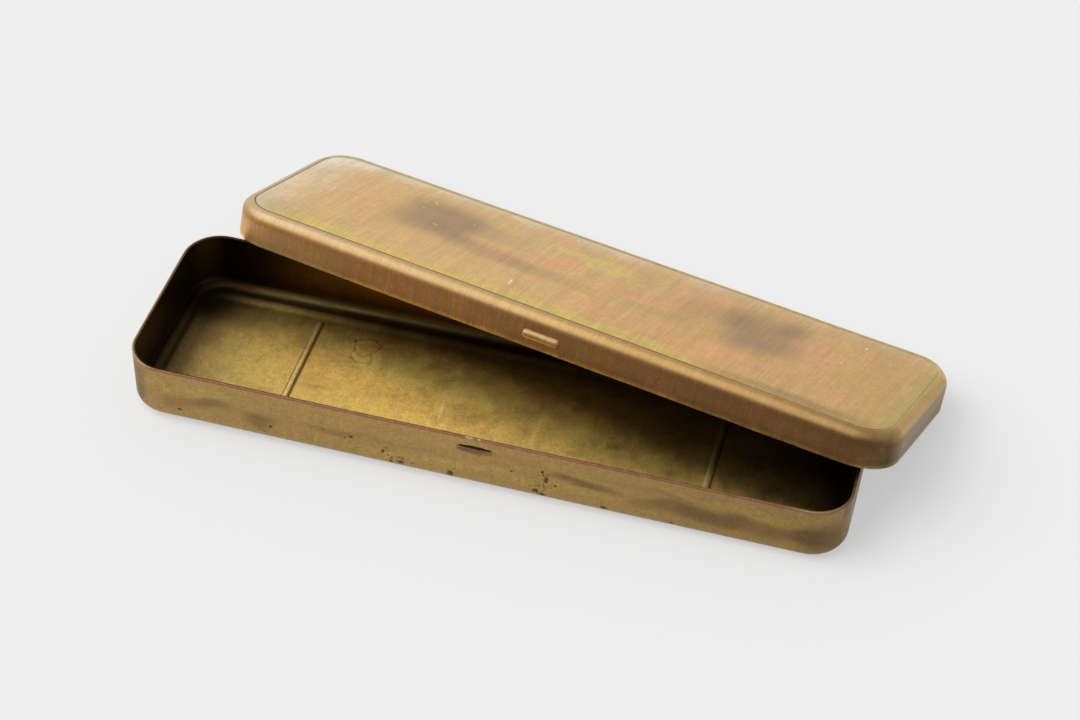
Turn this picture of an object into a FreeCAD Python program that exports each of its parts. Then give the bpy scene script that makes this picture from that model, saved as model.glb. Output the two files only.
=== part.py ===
import FreeCAD, Part
import math
import os

import Sketcher
from FreeCAD import Placement, Rotation, Vector

# A two-piece pencil case drawn from brass sheet: an open tray and a slightly larger lid.
# The tray stands on the ground, centred on the origin, with its long side along X.
# The lid lies askew on it: its back edge is on the ground behind the tray, its front edge
# lies across the back rim, and its ceiling lies on the back right corner of the rim.
# Lengths are in millimetres and angles in degrees.

SIZES = [
    ("wall", 0.8, "thickness of the drawn sheet, the same everywhere"),
    ("tray_length", 184.0, "outside length of the tray along X"),
    ("tray_width", 53.0, "outside width of the tray along Y"),
    ("tray_height", 17.3, "from the ground to the tray's rim"),
    ("tray_corner", 9.6, "outside radius of the tray's upright corners"),
    ("tray_bottom_radius", 3.5, "outside radius between the tray's wall and its floor"),
    ("floor_step", 0.5, "how far the floor panel is pressed down"),
    ("panel_margin", 0.9, "flat ledge between an inside radius and the edge of its pressed panel"),
    ("rib_spacing", 110.4, "between the middles of the two floor ribs"),
    ("rib_length", 37.6, "length of a floor rib across the tray"),
    ("rib_width", 1.9, "width of a floor rib"),
    ("rib_height", 0.45, "how far a floor rib stands above the floor"),
    ("rib_groove_width", 1.0, "width of the groove under a floor rib"),
    ("rib_groove_depth", 0.4, "depth of the groove under a floor rib"),
    ("recess_length", 8.5, "length of the pressed recess in each long wall of the tray"),
    ("recess_width", 2.8, "height of that recess"),
    ("recess_depth", 0.8, "how far that recess is pressed in"),
    ("recess_drop", 4.2, "from the rim down to the middle of that recess"),
    ("fit_gap", 0.3, "play between the tray's wall and the closed lid's wall"),
    ("lid_crease_height", 9.5, "from the lid's mouth to the crease round its top panel"),
    ("lid_top_radius", 2.9, "outside radius between the lid's wall and its top"),
    ("lid_panel_rise", 0.6, "how far the lid's top panel is pressed up"),
    ("bead_length", 10.3, "length of the raised bead on each long wall of the lid"),
    ("bead_width", 2.1, "height of that bead"),
    ("bead_corner", 0.8, "corner radius of that bead's outline"),
    ("bead_proud", 0.8, "how far that bead stands out"),
    ("bead_rise", 3.5, "from the lid's mouth to the middle of that bead"),
    ("panel_edge_radius", 0.4, "rounding of the pressed panels' edges"),
    ("feature_edge_radius", 0.4, "rounding of the ribs', beads' and recesses' edges"),
    ("lid_shift_x", 12.6, "middle of the resting lid's mouth, along X"),
    ("lid_shift_y", 31.7, "middle of the resting lid's mouth, along Y"),
    ("lid_rise", 10.12, "middle of the resting lid's mouth, above the ground"),
    ("lid_turn", 12.2, "turn of the resting lid, clockwise from above"),
    ("lid_lean", 19.05, "slope of the resting lid, down towards its back edge"),
    ("lid_tip", 0.7, "slope of the resting lid, down towards its left end"),
]

SHEET = "sizes"
TOLERANCE = 1e-4

doc = FreeCAD.newDocument("pencil_case")
sheet = doc.addObject("Spreadsheet::Sheet", SHEET)
for row, (alias, number, meaning) in enumerate(SIZES, start=1):
    sheet.set("A%d" % row, meaning)
    sheet.set("B%d" % row, str(number))
    sheet.setAlias("B%d" % row, alias)
doc.recompute()


def size(formula):
    """Return the value of a formula written with the sheet's aliases."""
    return float(sheet.evalExpression(formula))


def bound(formula):
    """Return the formula with the sheet's name in front of each alias, for setExpression."""
    words = formula.replace("(", "( ").replace(")", " )").split()
    aliases = {alias for alias, number, meaning in SIZES}
    return " ".join("%s.%s" % (SHEET, word) if word in aliases else word for word in words)


def new_body(name):
    body = doc.addObject("PartDesign::Body", name)
    body.Label = name
    return body


def origin_plane(body, role):
    return next(item for item in body.Origin.OriginFeatures if item.Role == role)


def new_sketch(body, name, role, offsets, turn=0):
    """Add a sketch on an origin plane, moved by formulas along the plane's x, y and z."""
    sketch = body.newObject("Sketcher::SketchObject", name)
    sketch.AttachmentSupport = (origin_plane(body, role), "")
    sketch.MapMode = "FlatFace"
    sketch.AttachmentOffset = Placement(Vector(), Rotation(Vector(0, 0, 1), turn))
    for axis, formula in zip("xyz", offsets):
        sketch.setExpression("AttachmentOffset.Base." + axis, bound(formula))
    return sketch


def dimension(sketch, kind, arguments, name, formula):
    """Add a driving dimension to a sketch and bind it to the sheet."""
    number = sketch.addConstraint(Sketcher.Constraint(kind, *arguments, size(formula)))
    sketch.renameConstraint(number, name)
    sketch.setExpression("Constraints." + name, bound(formula))


def quarter(centre, radius, start):
    circle = Part.Circle(centre, Vector(0, 0, 1), radius)
    return Part.ArcOfCircle(circle, math.radians(start), math.radians(start + 90))


def rounded_rectangle(body, name, role, offsets, length, width, corner):
    """Draw a rectangle with four equal round corners, centred on the sketch's origin."""
    sketch = new_sketch(body, name, role, offsets)
    radius = size(corner)
    reach_x = size(length) / 2
    reach_y = size(width) / 2
    flat_x = reach_x - radius
    flat_y = reach_y - radius
    sketch.addGeometry([
        Part.LineSegment(Vector(-flat_x, -reach_y, 0), Vector(flat_x, -reach_y, 0)),
        Part.LineSegment(Vector(reach_x, -flat_y, 0), Vector(reach_x, flat_y, 0)),
        Part.LineSegment(Vector(flat_x, reach_y, 0), Vector(-flat_x, reach_y, 0)),
        Part.LineSegment(Vector(-reach_x, flat_y, 0), Vector(-reach_x, -flat_y, 0)),
        quarter(Vector(flat_x, -flat_y, 0), radius, -90),
        quarter(Vector(flat_x, flat_y, 0), radius, 0),
        quarter(Vector(-flat_x, flat_y, 0), radius, 90),
        quarter(Vector(-flat_x, -flat_y, 0), radius, 180),
    ], False)
    for side in range(4):
        arc = side + 4
        sketch.addConstraint(Sketcher.Constraint("Tangent", side, 2, arc, 1))
        sketch.addConstraint(Sketcher.Constraint("Tangent", arc, 2, (side + 1) % 4, 1))
        sketch.addConstraint(Sketcher.Constraint("Vertical" if side % 2 else "Horizontal", side))
    for arc in (5, 6, 7):
        sketch.addConstraint(Sketcher.Constraint("Equal", 4, arc))
    sketch.addConstraint(Sketcher.Constraint("Symmetric", 0, 1, 2, 1, -1, 1))
    dimension(sketch, "DistanceX", (3, 1, 1, 1), "length", length)
    dimension(sketch, "DistanceY", (0, 1, 2, 1), "width", width)
    dimension(sketch, "Radius", (4,), "corner", corner)
    return sketch


def round_ended_slot(body, name, role, offsets, length, width, turn=0):
    """Draw a slot with half-round ends along the sketch's x, centred on its origin."""
    sketch = new_sketch(body, name, role, offsets, turn)
    radius = size(width) / 2
    flat = size(length) / 2 - radius
    right_end = Part.Circle(Vector(flat, 0, 0), Vector(0, 0, 1), radius)
    left_end = Part.Circle(Vector(-flat, 0, 0), Vector(0, 0, 1), radius)
    sketch.addGeometry([
        Part.LineSegment(Vector(-flat, -radius, 0), Vector(flat, -radius, 0)),
        Part.ArcOfCircle(right_end, -math.pi / 2, math.pi / 2),
        Part.LineSegment(Vector(flat, radius, 0), Vector(-flat, radius, 0)),
        Part.ArcOfCircle(left_end, math.pi / 2, 3 * math.pi / 2),
    ], False)
    for piece in range(4):
        sketch.addConstraint(Sketcher.Constraint("Tangent", piece, 2, (piece + 1) % 4, 1))
    sketch.addConstraint(Sketcher.Constraint("Horizontal", 0))
    sketch.addConstraint(Sketcher.Constraint("Symmetric", 0, 1, 2, 1, -1, 1))
    dimension(sketch, "DistanceX", (0, 1, 0, 2), "straight", "%s - %s" % (length, width))
    dimension(sketch, "Radius", (1,), "end", "%s / 2" % width)
    return sketch


def outline(body, name, height, side, inset):
    """Draw the tray's or the lid's plan, moved in by a formula, at a height formula."""
    grown = {"tray": "0", "lid": "( wall + fit_gap )"}[side]
    return rounded_rectangle(
        body, name, "XY_Plane", ("0", "0", height),
        "tray_length + 2 * %s - 2 * ( %s )" % (grown, inset),
        "tray_width + 2 * %s - 2 * ( %s )" % (grown, inset),
        "tray_corner + %s - ( %s )" % (grown, inset))


def pad(body, name, sketch, length, backwards=False):
    """Add material from a sketch, and check that it was added."""
    return extrude(body, "PartDesign::Pad", name, sketch, length, backwards, 1)


def pocket(body, name, sketch, length, backwards=False):
    """Cut material from a sketch, and check that it was cut."""
    return extrude(body, "PartDesign::Pocket", name, sketch, length, backwards, -1)


def extrude(body, kind, name, sketch, length, backwards, sign):
    before = body.Shape.Volume if body.Tip else 0.0
    feature = body.newObject(kind, name)
    feature.Profile = sketch
    feature.setExpression("Length", bound(length))
    feature.Reversed = backwards
    doc.recompute()
    if sign * (body.Shape.Volume - before) <= TOLERANCE:
        raise RuntimeError(name + " left the volume as it was")
    return feature


def mirror(body, name, features, role):
    """Repeat features on the other side of an origin plane."""
    before = body.Shape.Volume
    mirrored = body.newObject("PartDesign::Mirrored", name)
    mirrored.Originals = features
    mirrored.MirrorPlane = (origin_plane(body, role), [""])
    body.Tip = mirrored
    doc.recompute()
    if abs(body.Shape.Volume - before) <= TOLERANCE:
        raise RuntimeError(name + " left the volume as it was")
    return mirrored


def round_edges(body, name, radius, chosen):
    """Fillet the edges whose every corner point passes the test."""
    base = body.Tip
    names = []
    for number, edge in enumerate(base.Shape.Edges, start=1):
        if all(chosen(vertex.Point) for vertex in edge.Vertexes):
            names.append("Edge%d" % number)
    if not names:
        raise RuntimeError(name + " found no edge to round")
    fillet = body.newObject("PartDesign::Fillet", name)
    fillet.Base = (base, names)
    fillet.setExpression("Radius", bound(radius))
    doc.recompute()
    return fillet


def at_height(formula):
    height = size(formula)
    return lambda point: abs(point.z - height) < TOLERANCE


def at_side(formula):
    reach = size(formula)
    return lambda point: abs(abs(point.y) - reach) < TOLERANCE


def build_tray():
    """Draw the open tray: rounded box, pressed floor panel, two ribs and two wall recesses."""
    body = new_body("tray")

    shell_plan = outline(body, "shell_plan", "floor_step", "tray", "0")
    pad(body, "shell", shell_plan, "tray_height - floor_step")
    hollow_plan = outline(body, "hollow_plan", "tray_height", "tray", "wall")
    pocket(body, "hollow", hollow_plan, "tray_height - floor_step - wall")
    round_edges(body, "inside_edge", "tray_bottom_radius - wall", at_height("floor_step + wall"))
    round_edges(body, "bottom_edge", "tray_bottom_radius", at_height("floor_step"))

    foot_plan = outline(body, "foot_plan", "floor_step + wall / 2", "tray", "tray_bottom_radius")
    pad(body, "foot_panel", foot_plan, "floor_step + wall / 2", backwards=True)
    round_edges(body, "foot_edge", "panel_edge_radius", at_height("0"))

    floor_plan = outline(body, "floor_plan", "floor_step + wall", "tray",
                         "tray_bottom_radius + panel_margin")
    pocket(body, "floor_panel", floor_plan, "floor_step")
    round_edges(body, "floor_edge", "panel_edge_radius", at_height("wall"))

    rib_plan = round_ended_slot(body, "rib_plan", "XY_Plane",
                                ("rib_spacing / 2", "0", "wall / 2"),
                                "rib_length", "rib_width", turn=90)
    rib = pad(body, "rib", rib_plan, "wall / 2 + rib_height")
    mirror(body, "second_rib", [rib], "YZ_Plane")
    round_edges(body, "rib_edges", "feature_edge_radius", at_height("wall + rib_height"))

    groove_plan = round_ended_slot(body, "groove_plan", "XY_Plane",
                                   ("rib_spacing / 2", "0", "0"),
                                   "rib_length - rib_width + rib_groove_width",
                                   "rib_groove_width", turn=90)
    groove = pocket(body, "rib_groove", groove_plan, "rib_groove_depth", backwards=True)
    mirror(body, "second_groove", [groove], "YZ_Plane")

    # The recess shows inside the tray as a low boss, so that the wall keeps its thickness.
    recess_height = "tray_height - recess_drop"
    boss_plan = round_ended_slot(body, "boss_plan", "XZ_Plane",
                                 ("0", recess_height, "tray_width / 2 - wall / 2"),
                                 "recess_length + wall", "recess_width + wall")
    boss = pad(body, "recess_boss", boss_plan, "wall / 2 + recess_depth", backwards=True)
    mirror(body, "second_boss", [boss], "XZ_Plane")
    round_edges(body, "boss_edges", "feature_edge_radius",
                at_side("tray_width / 2 - wall - recess_depth"))

    recess_plan = round_ended_slot(body, "recess_plan", "XZ_Plane",
                                   ("0", recess_height, "tray_width / 2"),
                                   "recess_length", "recess_width")
    recess = pocket(body, "recess", recess_plan, "recess_depth")
    mirror(body, "second_recess", [recess], "XZ_Plane")
    return body


def build_lid():
    """Draw the lid with its mouth at its own z = 0: rounded shell, raised panel, two beads."""
    body = new_body("lid")
    outer_side = "tray_width / 2 + wall + fit_gap"

    shell_plan = outline(body, "lid_plan", "0", "lid", "0")
    pad(body, "lid_shell", shell_plan, "lid_crease_height")
    hollow_plan = outline(body, "lid_hollow_plan", "0", "lid", "wall")
    pocket(body, "lid_hollow", hollow_plan, "lid_crease_height - wall", backwards=True)
    round_edges(body, "lid_inside_edge", "lid_top_radius - wall",
                at_height("lid_crease_height - wall"))
    round_edges(body, "lid_top_edge", "lid_top_radius", at_height("lid_crease_height"))

    panel_plan = outline(body, "panel_plan", "lid_crease_height - wall / 2", "lid",
                         "lid_top_radius")
    pad(body, "top_panel", panel_plan, "wall / 2 + lid_panel_rise")
    round_edges(body, "panel_edge", "panel_edge_radius",
                at_height("lid_crease_height + lid_panel_rise"))

    ceiling_plan = outline(body, "ceiling_plan", "lid_crease_height - wall", "lid",
                           "lid_top_radius + panel_margin")
    pocket(body, "ceiling_panel", ceiling_plan, "lid_panel_rise", backwards=True)
    round_edges(body, "ceiling_edge", "panel_edge_radius",
                at_height("lid_crease_height + lid_panel_rise - wall"))

    bead_plan = rounded_rectangle(body, "bead_plan", "XZ_Plane",
                                  ("0", "bead_rise", outer_side + " - wall / 2"),
                                  "bead_length", "bead_width", "bead_corner")
    bead = pad(body, "bead", bead_plan, "wall / 2 + bead_proud")
    mirror(body, "second_bead", [bead], "XZ_Plane")
    round_edges(body, "bead_edges", "feature_edge_radius", at_side(outer_side + " + bead_proud"))

    hollow_bead_plan = round_ended_slot(body, "bead_hollow_plan", "XZ_Plane",
                                        ("0", "bead_rise", outer_side + " - wall"),
                                        "bead_length - 2 * wall", "bead_width - wall")
    bead_hollow = pocket(body, "bead_hollow", hollow_bead_plan, "bead_proud", backwards=True)
    mirror(body, "second_bead_hollow", [bead_hollow], "XZ_Plane")

    place = Vector(size("lid_shift_x"), size("lid_shift_y"), size("lid_rise"))
    turn = Rotation(Vector(0, 0, 1), -size("lid_turn"))
    tip = Rotation(Vector(0, 1, 0), -size("lid_tip"))
    lean = Rotation(Vector(1, 0, 0), -size("lid_lean"))
    body.Placement = Placement(place, turn * tip * lean)
    return body


def check(bodies):
    """Stop if any object failed, or if a piece isn't one valid solid."""
    doc.recompute()
    for item in doc.Objects:
        if "Invalid" in item.State or "Error" in item.State:
            raise RuntimeError("failed object: " + item.Name)
    for body in bodies:
        shape = body.Shape
        if shape.isNull() or not shape.isValid() or len(shape.Solids) != 1:
            raise RuntimeError("bad shape: " + body.Label)


def export(bodies):
    os.makedirs("parts", exist_ok=True)
    for body in bodies:
        body.Shape.exportStep(os.path.join("parts", body.Label + ".step"))
        box = body.Shape.BoundBox
        print("%s: %.1f mm3, x %.2f to %.2f, y %.2f to %.2f, z %.2f to %.2f" % (
            body.Label, body.Shape.Volume, box.XMin, box.XMax, box.YMin, box.YMax,
            box.ZMin, box.ZMax))


case = [build_tray(), build_lid()]
check(case)
export(case)
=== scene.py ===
import math

import bpy
import numpy as np
from mathutils import Matrix, Vector, noise


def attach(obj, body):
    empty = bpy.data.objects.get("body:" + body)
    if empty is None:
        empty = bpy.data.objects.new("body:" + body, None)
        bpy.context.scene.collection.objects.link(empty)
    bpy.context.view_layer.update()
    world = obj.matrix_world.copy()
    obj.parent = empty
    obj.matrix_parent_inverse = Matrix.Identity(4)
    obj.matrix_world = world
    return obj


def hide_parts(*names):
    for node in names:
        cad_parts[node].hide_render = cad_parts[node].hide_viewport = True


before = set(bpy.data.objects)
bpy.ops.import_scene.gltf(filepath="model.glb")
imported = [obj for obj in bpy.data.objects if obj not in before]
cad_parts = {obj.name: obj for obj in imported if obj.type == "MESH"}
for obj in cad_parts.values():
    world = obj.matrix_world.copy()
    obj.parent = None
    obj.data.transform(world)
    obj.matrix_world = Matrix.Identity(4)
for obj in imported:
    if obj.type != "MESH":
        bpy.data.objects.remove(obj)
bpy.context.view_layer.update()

# A two-piece pencil case drawn from brass sheet: an open tray with its lid leaning on it.
# Shapes are worked out in millimetres, in each half's own frame, and written in metres.
MM = 0.001

TRAY = {"length": 184.0, "width": 53.0, "corner": 9.6}
LID = {"length": 186.2, "width": 55.2, "corner": 10.7}
SHEET = 0.8
TRAY_HEIGHT = 17.3

# Two ribs pressed into the tray's floor, at plus and minus RIB_X, with a groove below each.
RIB_X = 55.2
RIB_HALF_WIDTH = 0.95
RIB_HALF_LENGTH = 18.8
RIB_RISE = 0.45
GROOVE_DEPTH = 0.4

# A recess in each long wall of the tray. Its place is measured down from the rim.
RECESS_DROP = 3.5
RECESS_HALF_LENGTH = 4.5
RECESS_HALF_HEIGHT = 0.95
RECESS_DEPTH = 0.8

# A bead on each long wall of the lid. Its place is measured up from the mouth.
BEAD_UP = 3.5
BEAD_HALF_LENGTH = 5.15
BEAD_HALF_WIDTH = 1.05
BEAD_PROUD = 0.8

LID_CROWN = 0.7
BACK_SHOULDER_RISE = 0.35

LID_PLACE = (
    Matrix.Translation(Vector((12.6, 31.7, 10.12)) * MM)
    @ Matrix.Rotation(math.radians(-12.2), 4, "Z")
    @ Matrix.Rotation(math.radians(-0.7), 4, "Y")
    @ Matrix.Rotation(math.radians(-19.05), 4, "X")
)


# ---------------------------------------------------------------- sheet sections

def smooth(t):
    t = np.clip(t, 0.0, 1.0)
    return t * t * (3 - 2 * t)


def between(value, low, high):
    """0 below low, 1 above high, and smooth in between."""
    return smooth((np.asarray(value, float) - low) / (high - low))


def below(value, low, high):
    """1 below low, 0 above high, and smooth in between."""
    return 1 - between(value, low, high)


def arc(centre, radius, start, end, steps):
    """Points (inset, height) on an arc, angles in degrees from +inset towards +height."""
    angles = np.radians(np.linspace(start, end, steps))
    return [(centre[0] + radius * math.cos(a), centre[1] + radius * math.sin(a)) for a in angles]


def spread(*parts):
    """Join runs (start, end, step) into one rising list without repeats."""
    values = []
    for start, end, step in parts:
        count = max(1, int(round((end - start) / step)))
        values += list(np.linspace(start, end, count, endpoint=False))
    values.append(parts[-1][1])
    return values


def s_curve(start, end, steps):
    """Points of a soft step between two (inset, height) points, without its ends."""
    found = []
    for t in np.linspace(0, 1, steps + 2)[1:-1]:
        found.append((start[0] + (end[0] - start[0]) * t,
                      start[1] + (end[1] - start[1]) * float(smooth(t))))
    return found


def tray_section():
    """The tray's cut sheet from under the floor, round the rim and down to the floor."""
    under = [(5.2, 0.0)] + s_curve((5.0, 0.0), (3.7, 0.5), 7) + [(3.5, 0.5)]
    bottom = arc((3.5, 4.0), 3.5, 270, 180, 10)[1:]
    heights = spread((4.0, 10.6, 1.1), (10.6, 15.4, 0.2), (15.4, 17.05, 0.55))
    outer = [(0.0, z) for z in heights[1:]]
    rim = arc((0.25, 17.05), 0.25, 180, 90, 4)[1:] + [(0.4, 17.3)]
    rim += arc((0.55, 17.05), 0.25, 90, 0, 4)
    inner = [(SHEET, z) for z in reversed(heights[:-1])]
    fillet = arc((3.5, 4.0), 2.7, 180, 270, 10)[1:]
    ledge = [(3.9, 1.3)] + s_curve((4.1, 1.3), (7.3, 0.8), 9) + [(7.5, 0.8)]
    return under + bottom + outer + rim + inner + fillet + ledge


def lid_section():
    """The lid's cut sheet from under its ceiling, round the mouth and up to the top."""
    ledge = [(5.2, 9.3)] + s_curve((5.0, 9.3), (3.9, 8.7), 7) + [(3.5, 8.7), (2.9, 8.7)]
    fillet = arc((2.9, 6.6), 2.1, 90, 180, 9)[1:]
    heights = spread((0.2, 1.6, 0.35), (1.6, 5.4, 0.18), (5.4, 6.6, 0.3))
    inner = [(SHEET, z) for z in reversed(heights[:-1])]
    mouth = arc((0.6, 0.2), 0.2, 0, -90, 4)[1:] + arc((0.2, 0.2), 0.2, 270, 180, 4)[:-1]
    outer = [(0.0, z) for z in heights]
    shoulder = arc((2.9, 6.6), 2.9, 180, 97, 20)[1:]
    crease = [(2.72, 9.46), (2.92, 9.43), (3.12, 9.47), (3.4, 9.57), (3.8, 9.69), (4.3, 9.82),
              (4.9, 9.93), (5.6, 10.02), (6.4, 10.07), (7.4, 10.1)]
    return ledge + fillet + inner + mouth + outer + shoulder + crease


# ---------------------------------------------------------------- meshes

def plan_points(plan, steps):
    """Points round a rounded rectangle, and the outward normal at each."""
    a, b, r = plan["length"] / 2, plan["width"] / 2, plan["corner"]
    xs, ys, turns = steps
    ring = []
    for x in xs:
        ring.append(((x, -b), (0.0, -1.0)))
    for k in range(1, turns):
        t = math.radians(-90 + 90 * k / turns)
        n = (math.cos(t), math.sin(t))
        ring.append(((a - r + r * n[0], -b + r + r * n[1]), n))
    for y in ys:
        ring.append(((a, y), (1.0, 0.0)))
    for k in range(1, turns):
        t = math.radians(90 * k / turns)
        n = (math.cos(t), math.sin(t))
        ring.append(((a - r + r * n[0], b - r + r * n[1]), n))
    for x in reversed(xs):
        ring.append(((x, b), (0.0, 1.0)))
    for k in range(1, turns):
        t = math.radians(90 + 90 * k / turns)
        n = (math.cos(t), math.sin(t))
        ring.append(((-a + r + r * n[0], b - r + r * n[1]), n))
    for y in reversed(ys):
        ring.append(((-a, y), (-1.0, 0.0)))
    for k in range(1, turns):
        t = math.radians(180 + 90 * k / turns)
        n = (math.cos(t), math.sin(t))
        ring.append(((-a + r + r * n[0], -b + r + r * n[1]), n))
    return np.array([p for p, n in ring]), np.array([n for p, n in ring])


def shell(plan, section, levels, xs, turns=18):
    """A closed sheet: section rings run from one panel's middle line to the other's.
    Returns points (mm), faces, and for each point its inset from the side wall, its outward
    normal in plan, and its number along the section."""
    a, b, r = plan["length"] / 2, plan["width"] / 2, plan["corner"]
    ys = list(np.linspace(-(b - r), b - r, 22))
    base, normal = plan_points(plan, (xs, ys, turns))
    count = len(base)
    spine_x = np.clip(base[:, 0], -(a - b), a - b)
    rings, insets = [], []

    def panel_rings(inset, height):
        edge = base - normal * inset
        half = b - inset
        for level in [v for v in levels if v < half - 0.3]:
            share = 1 - level / half
            point = edge.copy()
            point[:, 0] += (spine_x - edge[:, 0]) * share
            point[:, 1] -= edge[:, 1] * share
            yield np.column_stack([point, np.full(count, height)]), inset + half * share

    under = list(panel_rings(*section[0]))
    over = list(panel_rings(*section[-1]))[::-1]
    middle = [(np.column_stack([base - normal * inset, np.full(count, height)]), inset)
              for inset, height in section]
    for ring, inset in under + middle + over:
        rings.append(ring)
        insets.append(inset)
    points = np.vstack(rings)
    total = len(rings)
    # Each panel closes on its middle line, where opposite points meet.
    merged = np.arange(len(points))
    for ring in (0, total - 1):
        seen = {}
        for i in range(count):
            index = ring * count + i
            merged[index] = seen.setdefault(round(float(points[index, 0]), 4), index)
            points[index, 1] = 0.0
    faces = []
    for k in range(total - 1):
        for i in range(count):
            j = (i + 1) % count
            corners = []
            for v in (k * count + i, k * count + j, (k + 1) * count + j, (k + 1) * count + i):
                if merged[v] not in corners:
                    corners.append(int(merged[v]))
            if len(corners) > 2:
                faces.append(corners)
    kept = np.unique([v for face in faces for v in face])
    number = np.full(len(points), -1)
    number[kept] = np.arange(len(kept))
    faces = [tuple(int(number[v]) for v in face) for face in faces]
    inset = np.repeat(insets, count)[kept]
    along = np.repeat(np.arange(total), count)[kept]
    return points[kept], faces, inset, np.tile(normal, (total, 1))[kept], along - len(under)


def make_piece(name, points, faces, values, place):
    """A smooth mesh object from millimetre points, with its values kept per point."""
    mesh = bpy.data.meshes.new(name)
    mesh.from_pydata((points * MM).tolist(), [], faces)
    mesh.update()
    mesh.attributes.new("place", "FLOAT_VECTOR", "POINT").data.foreach_set(
        "vector", points.astype(np.float32).ravel())
    for key, data in values.items():
        mesh.attributes.new(key, "FLOAT", "POINT").data.foreach_set(
            "value", np.clip(data, 0, 4).astype(np.float32))
    mesh.polygons.foreach_set("use_smooth", [True] * len(mesh.polygons))
    piece = bpy.data.objects.new(name, mesh)
    bpy.context.scene.collection.objects.link(piece)
    piece.matrix_world = place
    return piece


def wander(points, size, seed):
    """Smooth noise from about -1 to 1 at each point, with features `size` mm across."""
    shift = Vector((seed * 17.3, seed * -9.1, seed * 3.7))
    return np.array([noise.noise(Vector(p) / size + shift) for p in points.tolist()])


def warp(points, amount):
    """The points moved about by smooth noise, so that stains set by them get ragged edges."""
    return points + np.column_stack([wander(points, 9.0, seed) for seed in (5, 6, 7)]) * amount


def box_distance(u, v, half_u, half_v, corner):
    """Signed distance to a rounded rectangle's outline, negative inside."""
    du = np.abs(u) - (half_u - corner)
    dv = np.abs(v) - (half_v - corner)
    outside = np.hypot(np.maximum(du, 0), np.maximum(dv, 0))
    return outside + np.minimum(np.maximum(du, dv), 0) - corner


def x_stations(plan, fine):
    """Stations along a long side, closer together in the fine spans."""
    end = plan["length"] / 2 - plan["corner"]
    runs, at = [], -end
    for lo, hi, step in fine:
        if lo > at:
            runs.append((at, lo, 2.0))
        runs.append((lo, hi, step))
        at = hi
    runs.append((at, end, 2.0))
    return spread(*runs)


# How far in from a panel's edge its rings lie. The second list is finer round the ribs' ends.
LEVELS_PLAIN = [0.0] + spread((1.5, 22.5, 1.5))
LEVELS_RIB = [0.0] + spread((1.5, 16.5, 1.5), (16.9, 19.7, 0.25), (20.5, 21.3, 0.8))


def patches(u, v, rows):
    """Soft-edged ovals added up: rows of (u, v, half length, half width, turn, strength)."""
    total = np.zeros(len(u))
    for cu, cv, half_u, half_v, turn, strength in rows:
        c, s = math.cos(math.radians(turn)), math.sin(math.radians(turn))
        du, dv = u - cu, v - cv
        along = (du * c + dv * s) / half_u
        across = (dv * c - du * s) / half_v
        total += strength * np.exp(-along ** 4 - across ** 4)
    return total


# Where the tones lie, in millimetres: u, v, half length, half width, turn in degrees, strength.
# On the tray's front they are x and height; on its rim and floor and on the lid, x and y.
TRAY_FRONT_BROWN = [
    (-73, 8.5, 10, 2.4, 4, 0.5), (-56, 6.5, 5, 3.2, -20, 0.6), (-20, 10.6, 9, 0.9, 0, 0.25),
    (27, 9.8, 9, 1.5, -6, 0.6), (60, 7.6, 13, 3.2, -4, 0.72), (86, 8, 5, 6, 0, 0.65),
    (-90, 9, 4, 7, 0, 0.7), (43, 7, 6, 2, 10, 0.4), (80, 8, 8, 3, 0, 0.6),
    (-38, 9.5, 6, 1.1, 0, 0.4), (12, 13, 6, 1.4, 0, 0.3), (-8, 9, 60, 1.6, 0, 0.25),
    (2, 4, 30, 1.4, 0, 0.2), (44, 12.4, 14, 0.9, -3, 0.35),
]
TRAY_FLOOR_BROWN = [
    (-80, 4, 5, 4, 0, 0.5), (-62, -9, 5, 2, 0, 0.35), (-49, -5, 4, 1, 0, 0.6),
    (-70, 14, 8, 5, 0, 0.3),
]
TRAY_FRONT_YELLOW = [
    (5, 6.5, 45, 3.0, 0, 0.45), (-76, 12, 14, 2, 0, 0.5), (70, 12, 16, 2.4, 0, 0.5),
    (-12, 14, 60, 1.6, 0, 0.2),
]
# Painted highlights on the rim near its ends.
TRAY_RIM_PALE = [
    (-90, -22, 6, 8, 0, 0.5), (84, -26, 7, 4, 0, 0.5), (88, -10, 6, 14, 0, 0.25),
    (-92, 4, 4, 20, 0, 0.45),
]
TRAY_FRONT_RUST = [
    (-23, 6, 3, 3, 0, 0.6), (-19, 4, 5, 1.6, 0, 0.6), (16.5, 5, 3.4, 2.4, 0, 0.7),
    (18, 9, 2.4, 3.5, 0, 0.6), (-33, 7.5, 3, 2, 0, 0.7), (-41, 9, 4, 3, 0, 0.6),
    (50, 3.4, 5, 1.6, 0, 0.7), (-57, 4.2, 7, 3, 0, 0.6), (-10, 6, 40, 5, 0, 0.3),
]
LID_TOP_BROWN = [
    (-47, 4, 13, 12, 0, 0.68), (-51, 11, 7, 4.5, 0, 0.08), (-44, -3, 8, 5, 0, 0.08),
    (-30, 6, 10, 5, -8, 0.3), (-27, -6, 12, 4.5, 0, 0.42), (-6, -7, 15, 3.2, -2, 0.36),
    (48, 4, 10.5, 12.5, 8, 0.62), (54, 12, 4.5, 5, 0, 0.18), (44, -6, 9, 4.5, 0, 0.16),
    (62, -24.5, 22, 3, 0, 0.4), (31, 5, 11, 8, 20, 0.4), (22, -6, 12, 2.5, 0, 0.25),
]
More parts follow.
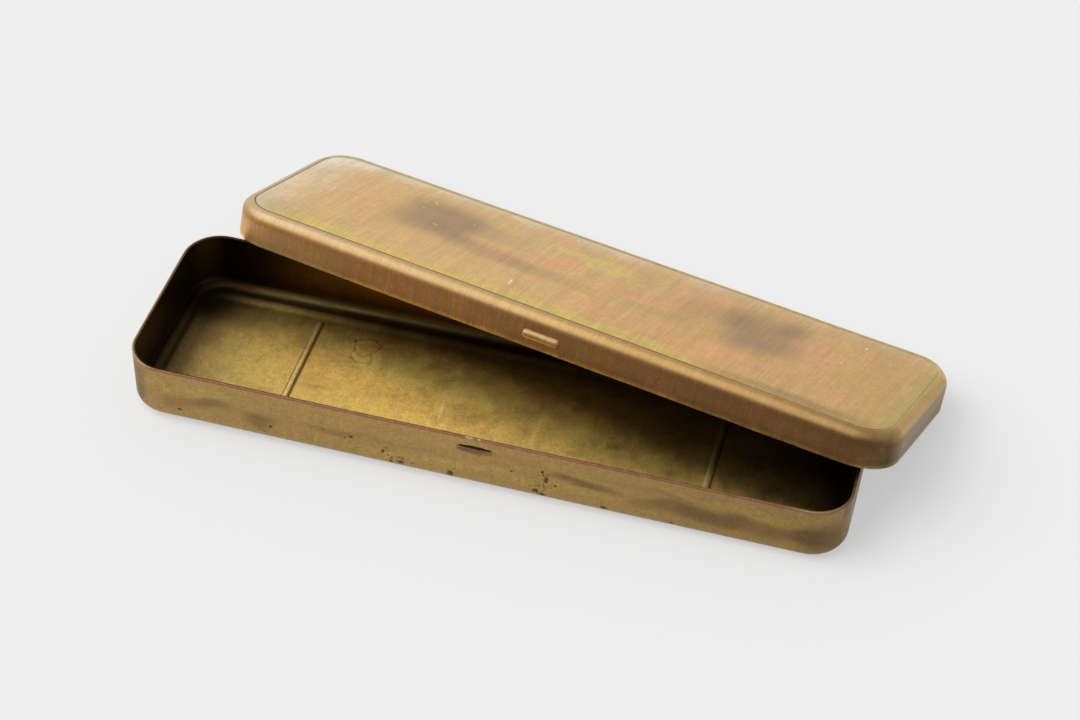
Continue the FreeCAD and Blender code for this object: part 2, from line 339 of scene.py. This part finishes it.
LID_TOP_PINK = [
    (-20, -2, 13, 2.6, 18, 0.8), (-9, 4, 5, 4, 60, 0.7), (5, -2, 10, 4, 0, 0.6),
    (22, 5, 16, 4, 38, 0.6), (30, 12, 7, 4, 20, 0.5), (62, 2, 7, 9, 10, 0.8),
    (73, 9, 5, 6, 0, 0.4), (42, -14, 17, 4, 4, 0.75), (30, -19, 26, 3, 0, 0.5),
    (72, -15, 11, 4, 0, 0.5), (-62, -10, 2.6, 8, 10, 0.6), (-42, -14, 13, 3, 0, 0.35),
    (-22, -12, 9, 3, 0, 0.45), (8, -12, 13, 3, 0, 0.55), (-15, 18, 6, 3, 0, 0.5),
    (22, 16, 7, 4, 0, 0.55), (-72, 2, 10, 9, 0, 0.3), (0, -18, 18, 3, 0, 0.35),
]
# The rows along the panel's front edge and at its right end paint a reflection; the others are tone.
LID_TOP_YELLOW = [
    (-5, 10.6, 15, 3.4, 0, 1.0), (4, -7, 10, 2.8, 0, 0.9), (-80, -18, 9, 5, 0, 0.5),
    (21, -17.5, 5, 2, 0, 0.5), (-30, 13, 9, 3, 0, 0.35), (-66, -24.8, 30, 3.4, 0, 0.9),
    (0, -24.8, 42, 3.4, 0, 1.0), (58, -25.5, 26, 2, 0, 0.7), (88.5, 0, 2, 24, 0, 0.7),
]


def build_tray():
    """The tray's points, faces and tones."""
    section = tray_section()
    rim_number = max(range(len(section)), key=lambda k: section[k][1])
    fine = [(-57.2, -53.2, 0.14), (-5.6, -2.8, 0.2), (-2.8, 2.8, 0.7), (2.8, 5.6, 0.2),
            (53.2, 57.2, 0.14)]
    points, faces, inset, outward, along = shell(TRAY, section, LEVELS_RIB, x_stations(TRAY, fine))
    x, y, z = points.T.copy()
    inside = along > rim_number
    # Pressed floor ribs, with a groove beneath each.
    rib_edge = box_distance(np.abs(x) - RIB_X, y, RIB_HALF_WIDTH, RIB_HALF_LENGTH, RIB_HALF_WIDTH)
    rib = below(rib_edge, -0.6, 0.12) * (z < 1.0)
    groove = below(rib_edge, -0.85, -0.25) * (z < 1.0)
    points[:, 2] += np.where(inside, RIB_RISE * rib, GROOVE_DEPTH * groove)
    # The recess pressed into each long wall: a steep upper edge and a gentler lower slope.
    on_wall = (np.abs(outward[:, 1]) > 0.99) & (z > 8) & (z < 17) & (inset < 1)
    drop = TRAY_HEIGHT - z
    taper = 1 + 0.7 * (x / 4.3) ** 2
    slot_edge = box_distance(x, (drop - RECESS_DROP) * taper,
                             RECESS_HALF_LENGTH, RECESS_HALF_HEIGHT, 0.85)
    press = below(slot_edge, -0.45, 0.1 + 1.3 * between(drop, 3.3, 4.5)) * on_wall
    points[:, 1] -= outward[:, 1] * RECESS_DEPTH * press
    # Hand-made unevenness: the walls wave a little, and the floor isn't quite flat.
    waves = wander(points, 34.0, 1) * 0.16 + wander(points, 13.0, 2) * 0.05
    points[:, :2] += outward * (waves * between(z, 4.0, 12.0) * (inset < 1))[:, None]
    points[:, 2] += np.where(inside & (z < 2.2), waves * 0.5, 0.0)

    wx, wy, wz = warp(points, 2.5).T
    outer_wall = ~inside & (inset < 3.6) & (z > 0.4)
    inner_wall = inside & (inset < 1.0)
    floor = inside & (inset > 4.6)
    corner = inside & ~inner_wall & ~floor
    front = outer_wall & (outward[:, 1] < -0.5)
    # Painted light and shade: the metal's brightness, place by place, as the photo shows it.
    shade = np.ones(len(x))
    shade[floor] = np.interp(x, [-92, -85, -79, -62, -40, -20, 0, 20, 40, 60, 80, 92],
                             [0.2, 0.36, 0.7, 1.1, 1.3, 1.5, 1.6, 1.6, 1.35, 1.25, 0.6, 0.3])[floor]
    # Painted shadow of the lid across the floor, painted shade in the left-back corner, painted
    # light in the middle and near the right.
    painted_lid_shadow = between(y + 0.3 * np.maximum(x, -20), 7, 16) * between(x, -60, -20)
    painted_corner_shade = below(x, -84, -64) * between(y, 6, 16)
    middle = between(x, -60, -40) * below(x, 20, 50)
    middle *= between(y, -4, 6) * below(y, 12, 20)
    painted_light_near_right = 0.5 * between(x, 25, 60) + 0.9 * between(x, 65, 80)
    painted_light_near_right *= below(y + 0.15 * np.maximum(x - 60, 0), -4, 6)
    shade[floor] *= ((1 - 0.6 * painted_lid_shadow) * (1 - 0.82 * painted_corner_shade)
                     * (1 + 0.35 * middle) * (1 + painted_light_near_right))[floor]
    shade[floor] = np.minimum(shade[floor], 1.85)
    # Painted shade on the inner walls and in the corner ring, and the outside walls painted darker
    # towards the right.
    shade[inner_wall] = np.interp(x, [-92, -84, -75, -60, -30, 92],
                                  [0.26, 0.13, 0.13, 0.26, 0.36, 0.5])[inner_wall]
    shade[corner] = (np.interp(x, [-92, -84, -66, -45, 0, 92], [0.25, 0.3, 0.75, 0.6, 0.45, 0.45])
                     * (1 - 0.5 * painted_corner_shade))[corner]
    shade[outer_wall] = np.interp(x, [-92, 0, 20, 45, 70, 92],
                                  [0.80, 0.80, 0.76, 0.69, 0.61, 0.54])[outer_wall]
    # Painted shade in the recess.
    shade[outer_wall] *= 1 - 0.45 * (below(slot_edge, -0.3, 0.1) * on_wall)[outer_wall]
    # Stains and tarnish, with painted shade and painted highlights.
    brown = front * patches(wx, wz, TRAY_FRONT_BROWN)
    brown += outer_wall * ~front * (0.4 + 0.9 * wander(points, 14.0, 8))
    brown += floor * patches(wx, wy, TRAY_FLOOR_BROWN)
    yellow = floor * (0.3 + 0.4 * between(wx, -85, -60) + 0.3 * wander(points, 15.0, 9))
    yellow += front * patches(wx, wz, TRAY_FRONT_YELLOW)
    # Painted shade in the corner ring and on the floor by the left wall.
    dirt = corner * 0.35
    dirt += floor * below(x, -90, -66) * between(y, -8, 20) * 0.35
    # Painted shade along the floor's border, next to the walls.
    shade[floor | corner] *= (0.32 + 0.68 * between(inset, 2.5, 11.0))[floor | corner]
    # Painted shadow under the recess's upper edge.
    hole = below(slot_edge, -0.3, 0.05) * on_wall * ~inside
    dirt = np.maximum(dirt, hole * (1 - 0.85 * between(drop, 4.0, 4.7)))
    pink = between(z, 16.7, 16.95) * np.ones(len(x))
    pink = np.maximum(pink, 0.7 * between(press, 0.0, 0.5) * between(drop, 4.0, 4.5) * ~inside)
    # Painted highlights on the rim near its ends.
    pale = between(z, 16.9, 17.2) * patches(x, y, TRAY_RIM_PALE)
    # Painted highlight on each rib's left flank, and painted shade along its right side.
    flank = (np.abs(x) - RIB_X) * np.sign(x)
    pale += rib * inside * between(-flank, -0.3, 0.5) * 0.8
    dirt += floor * np.exp(-((flank - 1.0) / 0.4) ** 2) * (np.abs(y) < RIB_HALF_LENGTH) * 0.6
    rust = front * patches(x, z, TRAY_FRONT_RUST)
    rust += floor * 0.2 + outer_wall * ~front * 0.3
    umber = inner_wall * (0.4 + 0.4 * between(x, -90, -80))
    tones = {"shade": shade, "brown": brown, "yellow": yellow, "dirt": dirt, "pink": pink,
             "pale": pale, "rust": rust, "umber": umber, "warm": front * 0.3}
    return points, faces, tones


def build_lid():
    """The lid's points, faces and tones."""
    section = lid_section()
    mouth_number = min(range(len(section)), key=lambda k: section[k][1])
    fine = [(-6.8, -4.0, 0.18), (-4.0, 4.0, 0.8), (4.0, 6.8, 0.18)]
    points, faces, inset, outward, along = shell(LID, section, LEVELS_PLAIN, x_stations(LID, fine))
    x, y, z = points.T.copy()
    inside = along < mouth_number
    # The raised bead on each long wall.
    on_wall = (np.abs(outward[:, 1]) > 0.99) & (z < 6.4) & (inset < 1)
    bead_edge = box_distance(x, z - BEAD_UP, BEAD_HALF_LENGTH, BEAD_HALF_WIDTH, 0.95)
    depth = np.clip(0.05 - bead_edge, 0, 1)
    bead = np.sqrt(1 - (1 - depth) ** 2) * on_wall
    points[:, 1] += outward[:, 1] * BEAD_PROUD * bead
    # The top panel crowns slightly, and the sheet isn't quite even.
    panel = between(z, 8.6, 9.6)
    crown = np.clip(1 - (x / 93) ** 2, 0, 1) * np.clip(1 - (y / 26) ** 2, 0, 1)
    waves = wander(points, 30.0, 3) * 0.14 + wander(points, 12.0, 4) * 0.035
    points[:, 2] += panel * (LID_CROWN * crown + waves * 0.7)
    points[:, :2] += outward * (waves * (1 - panel) * (inset < 3))[:, None]
    # Along the back the shoulder is squarer, so a strip of it shows past the panel.
    square = between(outward[:, 1], 0.2, 0.9) * np.exp(-((inset - 1.6) / 0.8) ** 2)
    points[:, 2] += BACK_SHOULDER_RISE * square * between(z, 7.5, 8.8) * ~inside

    warped = warp(points, 3.0)
    wx, wy = warped.T[:2]
    bx, by = (points * 0.6 + warped * 0.4).T[:2]
    top = ~inside & (inset > 3.0)
    side = ~inside & ~top
    # A painted shade band just inside the top panel's edge, on its right half.
    painted_edge_shade = top * np.exp(-((inset - 4.4) / 1.9) ** 2) * between(x, 25, 80) * (y < 16)
    wall = ~inside & (z < 6.3)
    shoulder = side & ~wall
    # Painted light and shade: the metal's brightness, place by place, as the photo shows it.
    shade = np.ones(len(x))
    # The top painted a little darker to the right and at the front left.
    shade[top] = (np.interp(x, [-92, -60, 0, 60, 92], [1.05, 1.02, 0.98, 0.93, 0.88])
                  * (1 - 0.16 * between(-x, 60, 85) * between(-y, 8, 20)))[top]
    right_end = between(outward[:, 0], 0.3, 0.9)
    # Painted light and shade on the walls: lighter at the left and along the mouth, darker to the
    # right and on the right end.
    wall_shade = np.interp(x, [-92, -65, -20, 0, 20, 45, 65, 92],
                           [1.2, 1.48, 1.1, 0.84, 0.77, 0.55, 0.5, 0.28])
    wall_shade = 0.85 + (wall_shade - 0.85) * between(-outward[:, 1], -0.3, 0.6)
    wall_shade *= 1.12 - 0.22 * between(z, 2.5, 6.5) + 0.3 * below(z, 0.5, 1.2)
    wall_shade *= 1 - right_end * (0.2 + 0.35 * below(z, 1.5, 6.0))
    wall_shade *= 1 + 0.6 * below(z, 0.15, 0.6) * between(x, -10, 20)
    shade[wall] = wall_shade[wall]
    # Painted highlight along the shoulder, dimmer to the right.
    high_shade = np.interp(x, [-92, -60, 0, 50, 92], [0.82, 0.8, 0.76, 0.64, 0.46])
    high_shade = 0.8 + (high_shade - 0.8) * between(-outward[:, 1], -0.3, 0.6)
    high_shade *= 1 + 0.15 * right_end
    share = between(z, 6.4, 8.4)
    shade[shoulder] = (wall_shade * (1 - share) + high_shade * share)[shoulder]
    # Painted shade inside the lid.
    shade[inside] = 0.3
    shade *= 1 - 0.2 * bead
    # Stains and tarnish, with painted shade, sheen and highlights.
    brown = top * patches(bx, by, LID_TOP_BROWN)
    umber = wall * (0.9 + 0.3 * wander(points, 20.0, 8))
    umber *= np.interp(x, [-92, -82, -60], [0.5, 0.58, 1.0])
    umber += shoulder * (0.9 - 0.7 * between(z, 6.4, 8.2)) * (y < 20)
    umber *= (1 - bead) * (1 - 0.45 * between(outward[:, 1], 0.0, 0.6))
    pink = top * patches(wx, wy, LID_TOP_PINK)
    pink += side * 0.08
    yellow = top * patches(wx, wy, LID_TOP_YELLOW)
    # Yellow on the back shoulder is a painted highlight; the painted shade band gets yellow for an
    # olive tone.
    yellow += shoulder * (y > 20) * (0.7 - 0.3 * square) + painted_edge_shade * 0.5
    yellow += side * right_end * 0.45
    # Painted sheen on the top's left part and along its back edge, and a painted highlight on the
    # shoulder at the left.
    pale = top * below(wx, -92, -68) * (0.6 + 0.4 * between(wy, 4, 22))
    pale += top * between(wy, 14, 26) * np.interp(
        x, [-92, -50, 0, 30, 60, 75, 92], [0.75, 0.65, 0.55, 0.5, 0.3, 0.4, 0.45])
    pale += shoulder * 0.4 * between(z, 7.4, 8.8) * np.interp(x, [-92, -60, 40], [1, 0.7, 0.0])
    # The bead is paler: partly wear, partly painted highlight.
    pale = np.maximum(pale, bead * ~inside * 0.15)
    yellow = np.maximum(yellow, bead * ~inside * 0.45)
    warm = (top | side) * between(x, -40, 85)
    mouth = np.exp(-((z - 0.5) / 0.6) ** 2) * wall
    yellow += mouth * 0.45
    # Painted shade: a dark line along the crease, weaker at the back and to the right.
    crease = np.exp(-((inset - 2.95) / 0.22) ** 2) * (z > 9) * ~inside
    crease *= np.where(y > 20, 0.5, 1.0) * (1 - 0.45 * between(x, 30, 75))
    # The painted shade band darkens the top as brown.
    brown += painted_edge_shade * 0.28
    # Painted shadow round the bead's foot.
    bead_foot = np.exp(-((bead_edge - 0.3) / 0.3) ** 2) * on_wall * ~inside
    dirt = np.maximum(crease * 0.9, bead_foot * 0.4)
    # A dark spot on the right front corner's shoulder.
    dirt += side * patches(x + y, z, [(62.5, 8.5, 2.0, 1.2, 0, 0.3)]) * (x > 84)
    # Painted shade along the walls just under the shoulder.
    dirt += wall * np.exp(-((z - 6.2) / 0.5) ** 2) * 0.35
    rust = wall * 0.12
    tones = {"shade": shade, "brown": brown, "yellow": yellow, "dirt": dirt, "pink": pink,
             "pale": pale, "rust": rust, "umber": umber, "warm": warm}
    return points, faces, tones


# ---------------------------------------------------------------- materials

class Graph:
    """Short calls for building a node tree."""

    def __init__(self, tree):
        self.tree = tree
        self.tree.nodes.clear()

    def make(self, kind, inputs=(), **settings):
        made = self.tree.nodes.new(kind)
        for key, value in settings.items():
            setattr(made, key, value)
        for key, value in dict(inputs).items():
            self.put(made.inputs[key], value)
        return made

    def put(self, socket, value):
        if isinstance(value, bpy.types.NodeSocket):
            self.tree.links.new(value, socket)
        else:
            socket.default_value = value

    def math(self, operation, a, b=0.0):
        return self.make("ShaderNodeMath", {0: a, 1: b}, operation=operation).outputs[0]

    def add(self, a, b):
        return self.math("ADD", a, b)

    def times(self, a, b):
        return self.math("MULTIPLY", a, b)

    def most(self, a, b):
        return self.math("MAXIMUM", a, b)

    def step(self, value, low, high):
        """0 below low, 1 above high, and smooth in between."""
        return self.make("ShaderNodeMapRange", {0: value, 1: low, 2: high},
                         interpolation_type="SMOOTHSTEP").outputs[0]

    def fall(self, value, low, high):
        """1 below low, 0 above high, and smooth in between."""
        return self.math("SUBTRACT", 1.0, self.step(value, low, high))

    def around(self, value, amount):
        """Turn noise about 0.5 into a factor about 1."""
        return self.add(self.times(value, amount), 1 - amount / 2)

    def mix(self, a, b, factor):
        made = self.make("ShaderNodeMix", data_type="RGBA")
        for key, value in ((0, factor), (6, a), (7, b)):
            self.put(made.inputs[key], value)
        return made.outputs[2]

    def scaled(self, colour, factor):
        return self.make("ShaderNodeVectorMath", {0: colour, "Scale": factor},
                         operation="SCALE").outputs[0]

    def vector(self, operation, a, b=(0, 0, 0), output=0):
        return self.make("ShaderNodeVectorMath", {0: a, 1: b}, operation=operation).outputs[output]

    def value(self, name):
        return self.make("ShaderNodeAttribute", attribute_name=name).outputs["Fac"]

    def noise(self, vector, scale, detail=2.0, rough=0.5, warp=0.0):
        inputs = {"Vector": vector, "Scale": scale, "Detail": detail, "Roughness": rough,
                  "Distortion": warp}
        return self.make("ShaderNodeTexNoise", inputs).outputs[0]

    def oval(self, place, centre, halves, turn=0.0):
        """Distance from a centre, where 1 is the edge of an oval."""
        moved = self.vector("SUBTRACT", place, centre)
        if turn:
            moved = self.make("ShaderNodeVectorRotate",
                              {"Vector": moved, "Angle": math.radians(-turn)},
                              rotation_type="Z_AXIS").outputs[0]
        return self.vector("LENGTH", self.vector("DIVIDE", moved, halves), output=1)


def new_material(name):
    """A material with an empty Principled shader, and the graph to build it with."""
    material = bpy.data.materials.new(name)
    material.use_nodes = True
    g = Graph(material.node_tree)
    shader = g.make("ShaderNodeBsdfPrincipled")
    g.make("ShaderNodeOutputMaterial", {0: shader.outputs[0]})
    return material, g, shader


def brass(name, colours, roughness, marks, pits, spill, grain_amount, speckle, coat, stain):
    """Worn, tarnished brass. Its broad tones, and its painted light and shade, are kept per point of
    the mesh.
    marks, pits and spill are ovals in millimetres. stain is (low, high, spread) for the brown."""
    material, g, shader = new_material(name)
    place = g.make("ShaderNodeAttribute", attribute_name="place").outputs["Vector"]
    drift = g.noise(place, 0.045, 4.0, 0.55)
    cloud = g.noise(place, 0.16, 5.0, 0.6, 0.6)
    mottle = g.noise(place, 0.6, 4.0, 0.6)
    fine = g.noise(place, 1.9, 3.0, 0.65)
    grain = g.noise(g.vector("MULTIPLY", place, (1, 0.035, 0.035)), 2.3, 3.0, 0.6)
    hair = g.noise(g.vector("MULTIPLY", place, (1, 0.06, 0.06)), 0.55, 4.0, 0.65)
    ragged = g.add(g.times(cloud, 0.4), g.times(mottle, 0.3))
    ragged = g.add(ragged, g.add(g.times(hair, 0.15), g.times(fine, 0.15)))

    def tone(key, low, high, raggedness=1.5):
        raised = g.add(g.value(key), g.times(g.add(ragged, -0.5), raggedness))
        return g.step(raised, low, high)

    colour = g.mix(colours["base"], colours["warm"], g.math(
        "MINIMUM", 1.0, g.add(g.times(g.step(drift, 0.35, 0.68), 0.5), g.value("warm"))))
    colour = g.mix(colour, colours["umber"], tone("umber", 0.1, 0.9))
    colour = g.mix(colour, colours["yellow"], tone("yellow", 0.05, 1.0))
    colour = g.mix(colour, colours["pink"], tone("pink", -0.1, 1.05, 1.0))
    brown = tone("brown", *stain)
    colour = g.mix(colour, colours["brown"], brown)
    # Pale: painted highlights and sheen, with a little wear on the lid's bead.
    colour = g.mix(colour, colours["pale"], g.step(g.value("pale"), 0.0, 1.0))
    # Painted shade in creases, corners and recesses and under raised parts; on the lid also one dark
    # spot.
    dirt = tone("dirt", 0.15, 0.85, 0.7)
    colour = g.mix(colour, colours["dirt"], dirt)
    # Corrosion spots gather where the rust value is high, and larger pits are placed.
    spot_noise = g.noise(place, 1.1, 3.0, 0.65, 0.4)
    spot = g.step(g.add(spot_noise, g.times(g.value("rust"), 0.15)), 0.70, 0.77)
    ragged_edge = g.times(g.add(mottle, -0.5), 1.6)
    for centre, halves in pits:
        near = g.add(g.oval(place, centre, halves), ragged_edge)
        spot = g.most(spot, g.fall(near, 0.7, 1.15))
    colour = g.mix(colour, colours["rust"], g.times(spot, 0.8))
    # Small pale nicks and marks; the lid's last mark is a painted highlight.
    light = g.times(g.step(g.noise(place, 1.7, 1.0, 0.4), 0.71, 0.78), 0.5)
    for centre, halves, turn, strength in marks:
        near = g.oval(place, centre, halves, turn)
        light = g.most(light, g.times(g.fall(near, 0.5, 1.1), strength))
    colour = g.mix(colour, colours["mark"], light)
    # A dried spill of three ovals: paler, brown blotches in the first, a reddish-brown outline.
    if spill:
        uneven = g.add(g.times(g.add(cloud, -0.5), 1.7), g.times(g.add(mottle, -0.5), 0.5))
        away = [g.add(g.oval(place, *part), uneven) for part in spill]
        nearest = g.math("MINIMUM", g.math("MINIMUM", away[0], away[1]), away[2])
        colour = g.mix(colour, colours["spill"], g.times(g.fall(nearest, 0.8, 1.0), 0.75))
        blotch = g.times(g.step(g.noise(place, 0.9, 3.0, 0.6), 0.46, 0.6), 0.45)
        colour = g.mix(colour, colours["pink"], g.times(blotch, g.fall(away[0], 0.8, 1.0)))
        broken = g.step(g.noise(place, 0.45, 2.0, 0.5), 0.22, 0.42)
        for distance, strength in ((nearest, 0.6), (away[0], 0.5)):
            line = g.fall(g.math("ABSOLUTE", g.add(distance, -1.0)), 0.01, 0.11)
            line = g.times(g.times(line, broken), strength)
            colour = g.mix(colour, colours["outline"], line)

    factor = g.times(g.around(cloud, 0.4), g.around(mottle, speckle * 0.6))
    factor = g.times(factor, g.around(fine, speckle))
    factor = g.times(factor, g.times(g.around(grain, grain_amount), g.around(hair, grain_amount)))
    # Painted light and shade, kept per point, scale the colour.
    factor = g.times(factor, g.value("shade"))
    colour = g.scaled(colour, factor)
    g.put(shader.inputs["Base Color"], colour)
    shader.inputs["Metallic"].default_value = 1.0
    rough = g.add(g.times(g.add(cloud, -0.5), 0.25), roughness)
    rough = g.add(rough, g.times(g.add(grain, -0.5), 0.12))
    rough = g.add(rough, g.times(g.most(brown, dirt), 0.12))
    rough = g.add(rough, g.times(spot, 0.25))
    g.put(shader.inputs["Roughness"], rough)
    if coat:
        shader.inputs["Coat Weight"].default_value = coat
        shader.inputs["Coat Roughness"].default_value = 0.35
    height = g.add(g.times(grain, 0.5 * grain_amount), g.times(fine, 0.06))
    height = g.add(height, g.times(spot, -0.3))
    height = g.add(height, g.times(mottle, 0.10))
    bump = g.make("ShaderNodeBump", {"Strength": 0.5, "Distance": 0.0002, "Height": height})
    g.put(shader.inputs["Normal"], bump.outputs[0])
    return material


# Linear colours of the metal and its tarnish.
LID_COLOURS = {
    "base": (0.67, 0.44, 0.19, 1), "warm": (0.66, 0.41, 0.15, 1),
    "yellow": (0.67, 0.492, 0.162, 1), "pink": (0.73, 0.40, 0.18, 1),
    "brown": (0.33, 0.225, 0.135, 1), "pale": (0.76, 0.66, 0.49, 1),
    "umber": (0.45, 0.215, 0.068, 1), "dirt": (0.13, 0.10, 0.06, 1),
    "rust": (0.10, 0.06, 0.035, 1), "mark": (0.85, 0.75, 0.50, 1),
}
TRAY_COLOURS = {
    "base": (0.52, 0.34, 0.115, 1), "warm": (0.50, 0.31, 0.11, 1),
    "yellow": (0.56, 0.41, 0.105, 1), "pink": (0.38, 0.17, 0.095, 1),
    "brown": (0.29, 0.175, 0.07, 1), "pale": (0.70, 0.55, 0.28, 1),
    "umber": (0.30, 0.145, 0.03, 1), "dirt": (0.05, 0.035, 0.016, 1), "rust": (0.13, 0.065, 0.03, 1),
    "mark": (0.72, 0.62, 0.36, 1), "spill": (0.72, 0.46, 0.11, 1), "outline": (0.20, 0.085, 0.04, 1),
}
# Pale nicks, and in the last row a painted highlight on the bead's left end: centre, half sizes,
# turn in degrees, strength.
LID_MARKS = [
    ((-13.2, 21.0, 10.3), (0.35, 1.0, 2), 0, 0.9), ((-15.0, -17.2, 10.3), (0.5, 2.2, 2), 8, 0.75),
    ((71.0, 17.0, 10.3), (0.5, 0.7, 2), 0, 0.8), ((-77.3, 1.0, 10.3), (0.3, 0.5, 2), 0, 0.8),
    ((-52.5, 13.0, 10.3), (0.25, 1.6, 2), 40, 0.5), ((-46.0, -0.3, 10.3), (1.2, 0.2, 2), -25, 0.6),
    ((-53.5, 7.4, 10.3), (0.5, 0.25, 2), 20, 0.6), ((-38.0, 7.5, 10.3), (0.2, 0.9, 2), 30, 0.4),
    ((68.5, 4.0, 10.3), (0.6, 1.0, 2), 0, 0.35), ((-70.0, -1.0, 10.3), (0.5, 0.3, 2), 0, 0.4),
    ((-4.7, -28.3, 3.8), (0.6, 1.2, 0.7), 0, 0.7),
]
TRAY_MARKS = [
    ((-15.4, -4.0, 0.8), (0.5, 4.5, 1.5), 4, 0.45), ((-13.4, -8.5, 0.8), (2.0, 0.5, 1.5), 0, 0.35),
    ((-1.5, -26.6, 17.3), (1.3, 1.2, 0.6), 0, 0.6), ((1.0, -26.6, 17.3), (0.5, 1.2, 0.6), 0, 0.7),
    ((2.0, 2.0, 0.8), (0.4, 0.3, 1.5), 0, 0.8),
]
# Corrosion pits: centre and half sizes.
TRAY_PITS = [
    ((-6.2, -26.6, 3.4), (0.9, 2.0, 1.1)), ((-5.4, -26.6, 2.2), (1.1, 2.0, 0.5)),
    ((-31.8, -26.6, 8.8), (0.6, 2.0, 0.5)), ((-23.6, -26.6, 6.2), (0.5, 2.0, 0.8)),
    ((-19.0, -26.6, 3.6), (0.9, 2.0, 0.6)), ((-21.6, -26.6, 3.0), (0.6, 2.0, 0.5)),
    ((9.4, -26.6, 9.0), (0.5, 2.0, 0.4)), ((15.6, -26.6, 4.0), (0.9, 2.0, 0.8)),
    ((17.4, -26.6, 3.2), (0.8, 2.0, 0.7)), ((18.2, -26.6, 8.4), (0.6, 2.0, 1.3)),
    ((17.2, -26.6, 11.0), (0.4, 2.0, 0.6)), ((20.6, -26.6, 7.0), (0.4, 2.0, 0.4)),
    ((33.0, -26.6, 3.2), (1.0, 2.0, 0.7)), ((50.0, -26.6, 3.2), (0.4, 2.0, 0.3)),
    ((-53.0, -26.6, 6.0), (0.5, 2.0, 0.4)), ((-77.0, -26.6, 5.2), (0.6, 2.0, 0.4)),
]
# The dried spill's ovals: centre, half sizes, turn in degrees.
TRAY_SPILL = [((-41.0, 12.8, 0.8), (3.2, 3.4, 6.0), 20), ((-41.2, 9.4, 0.8), (3.4, 2.5, 6.0), -10),
              ((-36.2, 15.2, 0.8), (2.6, 1.0, 6.0), 8)]


def add_piece(name, made, place, material):
    piece = make_piece(name, *made, place)
    piece.data.materials.append(material)
    return piece


# ---------------------------------------------------------------- the pieces

tray_brass = brass(
    "tray_brass", TRAY_COLOURS, roughness=0.40, marks=TRAY_MARKS, pits=TRAY_PITS, spill=TRAY_SPILL,
    grain_amount=0.2, speckle=0.95, coat=0.0, stain=(0.05, 0.95, 1.9))
tray = add_piece("tray_sheet", build_tray(), Matrix.Identity(4), tray_brass)
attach(tray, "tray")
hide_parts("tray")

lid_brass = brass(
    "lid_brass", LID_COLOURS, roughness=0.42, marks=LID_MARKS, pits=[], spill=[],
    grain_amount=0.42, speckle=0.45, coat=0.1, stain=(0.0, 1.1, 0.6))
lid = add_piece("lid_sheet", build_lid(), LID_PLACE, lid_brass)
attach(lid, "lid")
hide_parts("lid")


# ---------------------------------------------------------------- studio

def build_floor():
    """Pale paper, faintly luminous, which keeps the shadows soft."""
    reach = 6.0
    mesh = bpy.data.meshes.new("floor")
    corners = [(-reach, -reach, 0), (reach, -reach, 0), (reach, reach, 0), (-reach, reach, 0)]
    mesh.from_pydata(corners, [], [(0, 1, 2, 3)])
    floor = bpy.data.objects.new("floor", mesh)
    bpy.context.scene.collection.objects.link(floor)
    material, g, shader = new_material("pale_paper")
    for key, value in (("Base Color", (0.22, 0.22, 0.22, 1)), ("Roughness", 0.9),
                       ("Specular IOR Level", 0.0), ("Emission Color", (1, 1, 1, 1)),
                       ("Emission Strength", 0.49)):
        shader.inputs[key].default_value = value
    mesh.materials.append(material)


def add_sun(name, energy, degrees, direction):
    """A sun of the given angular size, shining from a direction."""
    sun = bpy.data.lights.new(name, "SUN")
    sun.energy = energy
    sun.angle = math.radians(degrees)
    holder = bpy.data.objects.new(name, sun)
    bpy.context.scene.collection.objects.link(holder)
    holder.rotation_mode = "QUATERNION"
    holder.rotation_quaternion = Vector(direction).to_track_quat("Z", "Y")
    return holder


def build_lights():
    add_sun("overhead_key", 1.1, 75, (-0.50, -0.15, 0.85))
    # This one only lights the paper, so the case's shadow falls to the right.
    add_sun("side_key", 3.0, 50, (-0.62, -0.26, 0.74)).visible_glossy = False

    # A pale dome of light, dimmer low in front and to the right.
    world = bpy.data.worlds.new("studio")
    bpy.context.scene.world = world
    world.use_nodes = True
    g = Graph(world.node_tree)
    way = g.make("ShaderNodeTexCoord").outputs["Generated"]
    split = g.make("ShaderNodeSeparateXYZ", {0: way})
    high = g.add(g.times(split.outputs["Y"], 0.55), g.times(split.outputs["Z"], 0.85))
    dome = g.add(g.times(g.step(high, -0.15, 0.6), 0.42), 0.48)
    dome = g.add(dome, g.times(g.step(split.outputs["Y"], 0.3, 0.9), 0.26))
    sided = g.add(g.times(split.outputs["X"], -0.22), 1.0)
    shade = g.make("ShaderNodeBackground", {"Strength": g.times(dome, sided)})
    g.make("ShaderNodeOutputWorld", {0: shade.outputs[0]})


def build_camera():
    """The view from the front right, 44 degrees above the ground. Angles are in radians."""
    azimuth, elevation, roll = 0.23445, 0.76385, 0.04419
    distance = 0.6276
    back = Vector((math.sin(azimuth) * math.cos(elevation),
                   -math.cos(azimuth) * math.cos(elevation), math.sin(elevation)))
    target = Vector((6.04, 12.44, 10.0)) * MM
    camera = bpy.data.cameras.new("camera")
    camera.sensor_width = 36.0
    camera.lens = 81.873
    camera.clip_start = 0.01
    camera.clip_end = 50.0
    eye = bpy.data.objects.new("camera", camera)
    bpy.context.scene.collection.objects.link(eye)
    eye.rotation_mode = "QUATERNION"
    eye.location = target + back * distance
    forward = -back
    right = forward.cross(Vector((0, 0, 1))).normalized()
    up = right.cross(forward)
    turned_right = right * math.cos(roll) + up * math.sin(roll)
    turned_up = up * math.cos(roll) - right * math.sin(roll)
    axes = Matrix((turned_right, turned_up, back)).transposed()
    eye.rotation_quaternion = axes.to_quaternion()
    bpy.context.scene.camera = eye


build_floor()
build_lights()
build_camera()
bpy.context.scene.view_settings.view_transform = "Standard"
